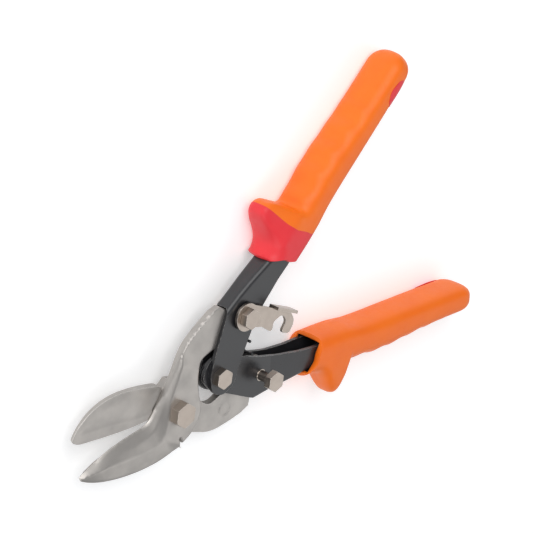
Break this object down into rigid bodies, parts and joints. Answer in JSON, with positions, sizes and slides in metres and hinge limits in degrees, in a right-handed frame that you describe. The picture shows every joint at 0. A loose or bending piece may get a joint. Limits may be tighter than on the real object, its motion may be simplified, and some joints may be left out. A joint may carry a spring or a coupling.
{
  "type": "aviation snips",
  "caption": "Compound-action aviation snips with offset blades, channel handles in soft two-colour grips, an opening spring and a swinging latch.",
  "frame": {"origin": "on the main pivot axis, at the outer face of the pivot nut, which is the plane that the tool rests on", "axes": "+X runs back along the middle line between the two handles, +Y points to the upper handle, which carries the latch, +Z points out of the side with the bolt heads"},
  "size_m": [0.2502, 0.164, 0.0254],
  "materials": {
    "blade_steel": "satin blasted forging",
    "plated_steel": "nickel plated, satin",
    "black_paint": "satin black powder coat",
    "spring_steel": "black oxide",
    "orange_grip": "satin moulded",
    "red_grip": "satin moulded"
  },
  "bodies": {
    "upper_handle_body": {"upper_handle": "black_paint", "handle_pivot_bolt": "plated_steel", "handle_pivot_nut": "plated_steel", "spring_bush": "plated_steel", "torsion_spring": "spring_steel", "upper_link_bolt": "plated_steel", "upper_link_nut": "plated_steel", "upper_link_spacer": "plated_steel", "latch_washer": "plated_steel", "upper_grip": "orange_grip", "upper_grip_guard": "red_grip", "upper_grip_inlay": "red_grip"},
    "lower_handle_body": {"lower_handle": "black_paint", "lower_link_stud": "plated_steel", "lower_link_spacer": "plated_steel", "lower_link_washer": "plated_steel", "lower_link_nut": "plated_steel", "lower_grip": "orange_grip", "lower_grip_guard": "orange_grip", "lower_grip_inlay": "red_grip"},
    "near_blade_body": {"near_blade": "blade_steel", "pivot_bolt": "plated_steel", "pivot_washer": "plated_steel", "pivot_nut": "plated_steel"},
    "far_blade_body": {"far_blade": "blade_steel"},
    "latch_body": {"latch": "plated_steel"}
  },
  "joints": [
    {"name": "handles", "type": "hinge", "parent": "upper_handle_body", "child": "lower_handle_body", "pos_m": [0.02758, 0, 0.0112], "axis": [0, 0, 1], "range_deg": [0, 33], "stiffness_Nm_per_rad": 1.2, "springref_deg": -28.65, "deforming": ["torsion_spring"]},
    {"name": "near_blade_link", "type": "hinge", "parent": "upper_handle_body", "child": "near_blade_body", "pos_m": [0.05158, 0.01971, 0.0112], "axis": [0, 0, 1], "range_deg": [0, 8.32]},
    {"name": "blades", "type": "hinge", "parent": "near_blade_body", "child": "far_blade_body", "pos_m": [0, 0, 0.0112], "axis": [0, 0, 1], "range_deg": [0, 16.37]},
    {"name": "latch_swing", "type": "hinge", "parent": "upper_handle_body", "child": "latch_body", "pos_m": [0.05158, 0.01971, 0.0112], "axis": [0, 0, 1], "range_deg": [-27, 18]}
  ],
  "couplings": [
    {"joint": "near_blade_link", "follows": "handles", "ratio": 0.252},
    {"joint": "blades", "follows": "handles", "ratio": 0.496}
  ]
}
